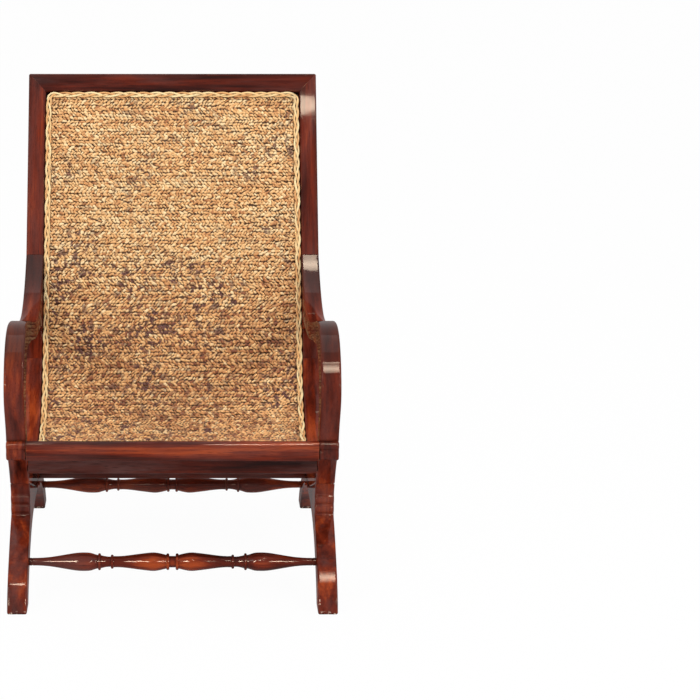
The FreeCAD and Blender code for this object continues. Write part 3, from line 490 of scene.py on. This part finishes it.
def strand_mesh(name, tubes, material):
    """One mesh of closed tubes.

    Each tube is (points[rings, sides, 3], strand values[rings, sides, 3], sunk[rings, sides]).
    """
    points, values, depths, indices, sizes, first = [], [], [], [], [], 0
    for place, value, sunk in tubes:
        rings, sides = place.shape[:2]
        flat, counts = tube_faces(rings, sides, first)
        points.append(place.reshape(-1, 3))
        values.append(value.reshape(-1, 3))
        depths.append(sunk.reshape(-1))
        indices.append(flat)
        sizes.append(counts)
        first += rings * sides
    points = np.concatenate(points).astype(np.float32)
    indices = np.concatenate(indices).astype(np.int32)
    sizes = np.concatenate(sizes).astype(np.int32)
    mesh = bpy.data.meshes.new(name)
    mesh.vertices.add(len(points))
    mesh.vertices.foreach_set("co", points.ravel())
    mesh.loops.add(len(indices))
    mesh.loops.foreach_set("vertex_index", indices)
    mesh.polygons.add(len(sizes))
    mesh.polygons.foreach_set("loop_start", np.concatenate([[0], np.cumsum(sizes)[:-1]]).astype(np.int32))
    mesh.polygons.foreach_set("use_smooth", np.ones(len(sizes), bool))
    mesh.update(calc_edges=True)
    mesh.validate()
    strand = mesh.attributes.new("strand", "FLOAT_VECTOR", "POINT")
    strand.data.foreach_set("vector", np.concatenate(values).astype(np.float32).ravel())
    sunk = mesh.attributes.new("sunk", "FLOAT", "POINT")
    sunk.data.foreach_set("value", np.concatenate(depths).astype(np.float32))
    mesh.materials.append(material)
    piece = bpy.data.objects.new(name, mesh)
    scene.collection.objects.link(piece)
    return piece


# The woven panel

ROW_PITCH = 0.0074
TWIST_PITCH = 0.0186
NUB = TWIST_PITCH / 2
STEPS_PER_TWIST = 10
SIDES = 6
BAND_COUNT = 8
EDGE_INSET = 0.0035
CORNER_RADIUS = 0.020

# A ply's half sizes in the panel's plane and across it, how far it swings in both,
# how much the upper one swells, and the height under which it counts as sunk
PLY_RADIUS_FLAT = 0.0030
PLY_RADIUS_DEEP = 0.0021
SWING_FLAT = 0.0017
SWING_DEEP = 0.0021
PLY_SWELL = 0.28
SUNK_BELOW = 0.0008

# Left- and right-hand twist take turns from row to row, but for this chance
FLIP_CHANCE = 0.45

# Chance from row to row and along a row: each pair is the spacing of its knots and its deviation
PHASE_DEVIATION = 0.6
TURN_DEVIATION = 0.38
ROW_DRIFT = (0.022, 0.0008)
ROW_RISE = (0.014, 0.00025)
PLY_DRIFT = (NUB, 0.0009)
PLY_SIZE = (NUB, 0.22)
PLY_SIZE_LIMITS = (0.62, 1.3)
SLOW_TONE = (0.09, 0.12)
NUB_TONE = (NUB, 0.2)
MIDDLE_TONE = 0.48
TONE_LIMITS = (0.06, 0.94)

# The rows are pressed flatter within this width of their ends, to this share of their depth
PRESS_WIDTH = 0.012
PRESS_SHARE = 0.6

# Sets the fibres of neighbouring rows apart
FIBRE_SHIFT_BY_ROW = 3


def half_width_at(run):
    """Half the weave's width at a length along the panel, which has rounded corners."""
    half = panel_half - EDGE_INSET
    from_end = min(run, line_length - run) - EDGE_INSET
    if from_end < CORNER_RADIUS:
        rest = CORNER_RADIUS - from_end
        half -= CORNER_RADIUS - math.sqrt(CORNER_RADIUS**2 - rest**2)
    return half


def smooth_chance(x, spacing, deviation):
    """Random values at even knots along a row, read between them on a smooth curve."""
    knots = np.arange(x[0] - spacing, x[-1] + 2 * spacing, spacing)
    values = chance.normal(0, deviation, len(knots))
    at = (x - knots[0]) / spacing
    low = np.floor(at).astype(int)
    share = at - low
    share = share * share * (3 - 2 * share)
    return values[low] * (1 - share) + values[low + 1] * share


def ply_pair(run, x, turn, drift, rise, press):
    """The two plies of a row as tubes that wind round each other."""
    tubes = []
    around = np.linspace(0, 2 * math.pi, SIDES, endpoint=False)
    for ply in (0, math.pi):
        size = np.clip(1 + smooth_chance(x, *PLY_SIZE), *PLY_SIZE_LIMITS)
        tone = MIDDLE_TONE + smooth_chance(x, *SLOW_TONE) + smooth_chance(x, *NUB_TONE)
        tone = np.clip(tone, *TONE_LIMITS)
        own_drift = smooth_chance(x, *PLY_DRIFT)
        across = run + drift + own_drift + np.cos(turn + ply) * SWING_FLAT
        height = rise + np.sin(turn + ply) * SWING_DEEP * press
        swell = 1 + PLY_SWELL * np.sin(turn + ply)
        flat = np.cos(around)[None, :] * (PLY_RADIUS_FLAT * size * swell)[:, None]
        deep = np.sin(around)[None, :] * (PLY_RADIUS_DEEP * size * press)[:, None]
        level = height[:, None] + deep
        y, z = on_panel(across[:, None] + flat, level)
        place = np.stack([np.broadcast_to(x[:, None], y.shape), y, z], 2)
        sunk = 1 - np.clip((np.abs(level) - SUNK_BELOW) / (SWING_DEEP + PLY_RADIUS_DEEP - SUNK_BELOW), 0, 1)
        length = x[:, None] + run * FIBRE_SHIFT_BY_ROW + ply
        roundness = np.cos(around[None, :] + turn[:, None] / 2)
        tubes.append((place, strand_values(length, roundness, tone[:, None], y.shape), sunk))
    return tubes


def weave_rows():
    """The rows of twisted strands, from the front of the seat to the top of the back."""
    count = int(round((line_length - 2 * EDGE_INSET) / ROW_PITCH))
    runs = EDGE_INSET + (np.arange(count) + 0.5) * (line_length - 2 * EDGE_INSET) / count
    rows = []
    phase = 0.0
    for number, run in enumerate(runs):
        half = half_width_at(run)
        rings = int(round(2 * half / TWIST_PITCH * STEPS_PER_TWIST)) + 1
        x = np.linspace(-half, half, rings)
        phase += chance.normal(math.pi / 2, PHASE_DEVIATION)
        hand = 1 if number % 2 == (chance.random() < FLIP_CHANCE) else -1
        slow = np.cumsum(chance.normal(0, TURN_DEVIATION, rings))
        slow -= np.linspace(0, slow[-1], rings)
        turn = hand * (2 * math.pi * x / TWIST_PITCH + phase) + slow
        drift = smooth_chance(x, *ROW_DRIFT)
        rise = smooth_chance(x, *ROW_RISE)
        press = np.clip((half - np.abs(x)) / PRESS_WIDTH, 0, 1) * (1 - PRESS_SHARE) + PRESS_SHARE
        rows += ply_pair(run, x, turn, drift, rise, press)
    return rows


weave_material = strand_material("woven_strand_look", STRAND_STOPS, patches=0.85, used=0.11)
rows = weave_rows()
rows_per_band = math.ceil(len(rows) / BAND_COUNT / 2) * 2
bands = []
for band in range(BAND_COUNT):
    picked = rows[band * rows_per_band : (band + 1) * rows_per_band]
    piece = strand_mesh(f"weave_band_{band + 1}", picked, weave_material)
    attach(piece, "root")
    bands.append(piece)

WARP_HALF_THICKNESS = 0.0004
WARP_RINGS = 240
WARP_TONE = 0.3


def backing(name, material):
    """The thin warp layer inside the weave, coloured dark brown as painted shade between the rows."""
    rings = []
    for run in np.linspace(EDGE_INSET, line_length - EDGE_INSET, WARP_RINGS):
        half = half_width_at(run)
        ring = []
        for side, face in ((-1, -1), (1, -1), (1, 1), (-1, 1)):
            y, z = on_panel(run, face * WARP_HALF_THICKNESS)
            ring.append((side * half, y, z))
        rings.append(ring)
    place = np.array(rings)
    shape = place.shape[:2]
    value = strand_values(place[..., 0], 0.0, WARP_TONE, shape)
    return strand_mesh(name, [(place, value, np.zeros(shape))], material)


warp_shade_material = strand_material("warp_shade_look", WARP_SHADE_STOPS, patches=0.4)
warp = backing("weave_warp", warp_shade_material)
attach(warp, "root")
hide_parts("woven_panel")
for piece in bands:
    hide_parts("woven_panel")


# The plaited binding

BRAID_PITCH = 0.095
BRAID_STEPS = 16
BRAID_SIDES = 8
CORNER_STEPS = 10

# How far a strand swings in the panel's plane and out of it, its half sizes in both, and its height
# over the panel
BRAID_SWING = 0.0046
BRAID_LIFT = 0.0013
BRAID_FLAT = 0.0026
BRAID_DEEP = 0.0015
BRAID_BASE = 0.0024

BRAID_KNOTS = 90
BRAID_SIZE_DEVIATION = 0.09
BRAID_TONES = (0.36, 0.58, 0.76)
BRAID_TONE_DEVIATION = 0.12
BRAID_TONE_LIMITS = (0.1, 0.95)
FIBRE_SHIFT_BY_STRAND = 7

# Painted shade: a strand is darkened where it dives under another, and along its two rims
DIVE_SHADE = 0.7
RIM_SHADE = 0.5


def border_path():
    """Even points (x, run) along the binding's closed loop, with inward directions, lengths and turns."""
    inset = BRAID_SWING + BRAID_FLAT
    middle_x = panel_half - inset
    low, high = inset, line_length - inset
    radius = CORNER_RADIUS - inset
    corners = []
    for sx, run, start in ((1, low, -90), (1, high, 0), (-1, high, 90), (-1, low, 180)):
        centre = (sx * (middle_x - radius), run + radius if run == low else run - radius)
        for degrees in np.linspace(start, start + 90, CORNER_STEPS):
            a = math.radians(degrees)
            corners.append((centre[0] + radius * math.cos(a), centre[1] + radius * math.sin(a)))
    corners.append(corners[0])
    corners = np.array(corners)
    travel = run_along(corners)
    turns = int(round(travel[-1] / BRAID_PITCH))
    even = np.linspace(0, travel[-1], turns * BRAID_STEPS + 1)
    path = np.stack([np.interp(even, travel, corners[:, k]) for k in range(2)], 1)
    heading = np.gradient(path, axis=0)
    heading[0] = heading[-1] = path[1] - path[-2]
    heading /= np.linalg.norm(heading, axis=1)[:, None]
    return path, np.stack([-heading[:, 1], heading[:, 0]], 1), even, turns


def ring_chance(even, deviation):
    """Random values along a closed loop, the same at its two ends."""
    values = chance.normal(0, deviation, BRAID_KNOTS)
    values[-1] = values[0]
    return np.interp(even, np.linspace(0, even[-1], BRAID_KNOTS), values)


def braid(name, material):
    """Three flat strands plaited along the border, each a closed ring over and under the others."""
    path, inward, even, turns = border_path()
    around = np.linspace(0, 2 * math.pi, BRAID_SIDES, endpoint=False)
    roundness = np.cos(around)[None, :]
    base = panel_thickness / 2 + BRAID_BASE
    top = base + BRAID_LIFT + BRAID_DEEP
    tubes = []
    for strand in range(3):
        angle = np.linspace(0, 2 * math.pi * turns, len(path)) + 2 * math.pi * strand / 3
        side = np.sin(angle) * BRAID_SWING
        lift = base + np.sin(2 * angle) * BRAID_LIFT
        size = 1 + ring_chance(even, BRAID_SIZE_DEVIATION)
        tone = np.clip(BRAID_TONES[strand] + ring_chance(even, BRAID_TONE_DEVIATION), *BRAID_TONE_LIMITS)
        offset = side[:, None] + roundness * (BRAID_FLAT * size)[:, None]
        level = lift[:, None] + np.sin(around)[None, :] * (BRAID_DEEP * size)[:, None]
        x = path[:, 0][:, None] + inward[:, 0][:, None] * offset
        run = path[:, 1][:, None] + inward[:, 1][:, None] * offset
        y, z = on_panel(run, level)
        dive = (top - level) / (2 * (BRAID_LIFT + BRAID_DEEP))
        # Painted shade where the strand dives and along its rims
        sunk = DIVE_SHADE * dive + RIM_SHADE * roundness**4
        length = even[:, None] + strand * FIBRE_SHIFT_BY_STRAND
        value = strand_values(length, roundness, tone[:, None], y.shape)
        tubes.append((np.stack([x, y, z], 2), value, sunk))
    return strand_mesh(name, tubes, material)


binding_material = strand_material("plaited_cane_look", BINDING_STOPS, patches=0.25)
binding = braid("binding_braid", binding_material)
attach(binding, "root")
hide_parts("binding_left", "binding_right", "binding_top", "binding_front")


# Looks of the wooden and steel pieces

STILE_TRIM = 0.02
# Depths under the arms' top where painted shade begins on their up-facing tops, and where it is full
TOP_SHADE_BEGINS = 0.10
TOP_SHADE_FULL = 0.045


def stile_tilt():
    """The turn about X that lays the reclined stile's grain on Y, from its box less its own thickness."""
    low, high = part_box("back_stile_left")
    return -math.atan2(high[2] - low[2] - STILE_TRIM, high[1] - low[1] - STILE_TRIM)


arm_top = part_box("arm_left")[1][2]
grain_crest = lacquered_wood("lacquered_wood_crest", "X", depth=0.06, contrast=0.7)
grain_front = lacquered_wood("lacquered_wood_front", "X", depth=-0.01, contrast=1.2)
grain_under = lacquered_wood("lacquered_wood_under", "X", depth=0.03, contrast=0.6, sheen_share=0.95)
grain_turned = lacquered_wood("lacquered_wood_turned", "X", depth=-0.055, sheen_share=0.5)
grain_stile = lacquered_wood("lacquered_wood_stiles", "Y", stile_tilt(), waved=True, contrast=0.7)
grain_arm = lacquered_wood(
    "lacquered_wood_arms",
    "Y",
    rise_share=0.22,
    depth=-0.015,
    contrast=0.6,
    grazing=0.15,
    shaded_top=(arm_top - TOP_SHADE_BEGINS, arm_top - TOP_SHADE_FULL),
)
grain_side = lacquered_wood("lacquered_wood_sides", "Y", rise_share=0.3, contrast=0.8)
grain_leg = lacquered_wood("lacquered_wood_legs", "Z", depth=-0.022, contrast=0.6, sheen_share=0.5, chipped=True)
pale_wood = plain_wood("dowel_look", "X", linear(206, 170, 120), linear(150, 108, 66))
strip_wood = lacquered_wood("strip_wood_look", "Y", depth=0.05)
steel = screw_steel("screw_look")

# By the start of a node's name: the first one that fits counts
LOOKS = {
    "crest_rail": grain_crest,
    "front_seat_rail": grain_front,
    "front_apron": grain_under,
    "rear_cross_rail": grain_under,
    "panel_cleat_top": grain_under,
    "panel_cleat_front": grain_under,
    "front_stretcher": grain_turned,
    "rear_stretcher": grain_turned,
    "back_stile": grain_stile,
    "side_rail": grain_side,
    "arm_": grain_arm,
    "front_leg": grain_leg,
    "rear_leg": grain_leg,
    "panel_cleat": strip_wood,
    "corner_block": strip_wood,
    "cleat_screws": steel,
}


def look_of(name):
    """The material of a CAD node, which is bare wood for dowels and splines."""
    if not name.endswith("dowels"):
        for start, look in LOOKS.items():
            if name.startswith(start):
                return look
    return pale_wood


for name, node in nodes.items():
    node.data.materials.clear()
    node.data.materials.append(look_of(name))


# Floor, lamps and camera

FLOOR_HALF = 30.0
FLOOR_PAPER = (0.86, 0.86, 0.86, 1)
FLOOR_GLOW = 0.97
AMBIENT = 0.72


def white_for_eyes(tree):
    """1 for rays of the camera and of mirror-like and clear surfaces."""
    path = tree.nodes.new("ShaderNodeLightPath")
    total = path.outputs["Is Camera Ray"]
    for other in ("Is Glossy Ray", "Is Transmission Ray"):
        node = tree.nodes.new("ShaderNodeMath")
        node.operation = "MAXIMUM"
        tree.links.new(total, node.inputs[0])
        tree.links.new(path.outputs[other], node.inputs[1])
        total = node.outputs[0]
    return total


def make_floor():
    """A wide floor of pale paper that glows white for the eye and keeps a faint shadow."""
    mesh = bpy.data.meshes.new("floor")
    corners = [(x * FLOOR_HALF, y * FLOOR_HALF, 0) for x, y in ((-1, -1), (1, -1), (1, 1), (-1, 1))]
    mesh.from_pydata(corners, [], [(0, 1, 2, 3)])
    floor = bpy.data.objects.new("floor", mesh)
    scene.collection.objects.link(floor)
    material = bpy.data.materials.new("floor_paper")
    material.use_nodes = True
    tree = material.node_tree
    tree.nodes.clear()
    out = tree.nodes.new("ShaderNodeOutputMaterial")
    paper = tree.nodes.new("ShaderNodeBsdfDiffuse")
    paper.inputs["Color"].default_value = FLOOR_PAPER
    glow = tree.nodes.new("ShaderNodeEmission")
    glow.inputs["Strength"].default_value = 1.0
    mixed = tree.nodes.new("ShaderNodeMixShader")
    share = tree.nodes.new("ShaderNodeMath")
    share.operation = "MULTIPLY"
    share.inputs[1].default_value = FLOOR_GLOW
    tree.links.new(white_for_eyes(tree), share.inputs[0])
    tree.links.new(share.outputs[0], mixed.inputs[0])
    tree.links.new(paper.outputs[0], mixed.inputs[1])
    tree.links.new(glow.outputs[0], mixed.inputs[2])
    tree.links.new(mixed.outputs[0], out.inputs["Surface"])
    mesh.materials.append(material)


def make_world():
    """Even white light from all sides, at full white for the eye."""
    world = bpy.data.worlds.new("studio")
    world.use_nodes = True
    scene.world = world
    tree = world.node_tree
    back = tree.nodes["Background"]
    strength = tree.nodes.new("ShaderNodeMapRange")
    strength.inputs["To Min"].default_value = AMBIENT
    strength.inputs["To Max"].default_value = 1.0
    tree.links.new(white_for_eyes(tree), strength.inputs["Value"])
    tree.links.new(strength.outputs["Result"], back.inputs["Strength"])
    back.inputs["Color"].default_value = (1, 1, 1, 1)


def lamp(name, place, target, size, radiance, colour=(1, 1, 1), grid=None):
    """A rectangle lamp that faces a target, as bright to look at as its radiance says.

    A grid in front of it, given by the angle in degrees at which it shuts off the light,
    leaves a lamp that shows in the polish alone, and only near its target.
    """
    data = bpy.data.lights.new(name, "AREA")
    data.shape = "RECTANGLE"
    data.size, data.size_y = size
    data.energy = radiance * math.pi * size[0] * size[1]
    data.color = colour
    light = bpy.data.objects.new(name, data)
    if grid:
        half = math.radians(grid)
        data.spread = 2 * half
        # Blender keeps a narrow lamp's whole power, so this takes off what would make it brighter
        data.energy *= 1 - half / math.tan(half)
        light.visible_diffuse = False
    light.location = place
    aim = (np.array(target) - np.array(place)).tolist()
    light.rotation_mode = "QUATERNION"
    light.rotation_quaternion = Vector(aim).to_track_quat("-Z", "Y")
    scene.collection.objects.link(light)


CAMERA_LENS = 102.03
CAMERA_SENSOR = 36.0
CAMERA_CLIP = (0.1, 100.0)
CAMERA_PLACE = (0.0, -4.3717, 1.715)
CAMERA_DOWN_DEGREES = 16.3
# The photo has the chair in its left half
CAMERA_SHIFT = 0.2536


def make_camera():
    """The photo's camera, fitted to the chair's perspective."""
    data = bpy.data.cameras.new("camera")
    data.lens = CAMERA_LENS
    data.sensor_width = CAMERA_SENSOR
    data.shift_x = CAMERA_SHIFT
    data.clip_start, data.clip_end = CAMERA_CLIP
    camera = bpy.data.objects.new("camera", data)
    camera.location = CAMERA_PLACE
    camera.rotation_euler = (math.radians(90 - CAMERA_DOWN_DEGREES), 0, 0)
    scene.collection.objects.link(camera)
    scene.camera = camera


WARM = (1.0, 0.95, 0.86)
CREAM = (1.0, 0.80, 0.60)
MIDDLE = (0, 0, 0.5)

scene.view_settings.view_transform = "Standard"
make_floor()
make_world()
make_camera()

# Soft light
lamp("key_left", (-2.2, -2.6, 2.3), MIDDLE, (1.0, 1.0), 10.0, WARM)
lamp("key_right", (2.3, -2.2, 2.2), MIDDLE, (1.0, 1.0), 8.0)
lamp("top", (0.0, 0.3, 3.4), MIDDLE, (2.4, 2.4), 1.6)

# Shine in the polish, each lamp named after the place where it shows
lamp("grid_stile", (0.515, -1.030, 2.955), (0.333, 0.43, 0.915), (0.35, 0.14), 100, CREAM, 8)
lamp("grid_tip", (0.405, 0.252, 1.60), (0.335, 0.23, 0.585), (0.125, 0.20), 75, CREAM, 8)
lamp("grid_arm", (0.405, -0.973, 1.18), (0.33, -0.44, 0.522), (0.20, 0.23), 75, CREAM, 9)
lamp("grid_leg", (0.422, -0.976, 1.15), (0.33, -0.46, 0.07), (0.22, 0.40), 75, CREAM, 7)
lamp("grid_left_arm", (0.59, -1.02, 1.63), (-0.31, -0.44, 0.53), (0.30, 0.25), 110, CREAM, 10)
lamp("grid_collar", (-0.42, -1.37, 1.47), (-0.32, -0.47, 0.27), (0.10, 0.18), 240, CREAM, 4)
lamp("grid_rail", (0.25, -1.68, 1.29), (0.185, -0.50, 0.37), (0.30, 0.26), 230, CREAM, 6)
lamp("grid_stretcher", (-1.25, -3.0, 1.45), (-0.25, -0.45, 0.1), (1.7, 0.6), 260, CREAM, 9)
lamp("grid_stretcher_right", (1.35, -3.0, 1.45), (0.1, -0.45, 0.1), (1.2, 0.5), 200, CREAM, 9)
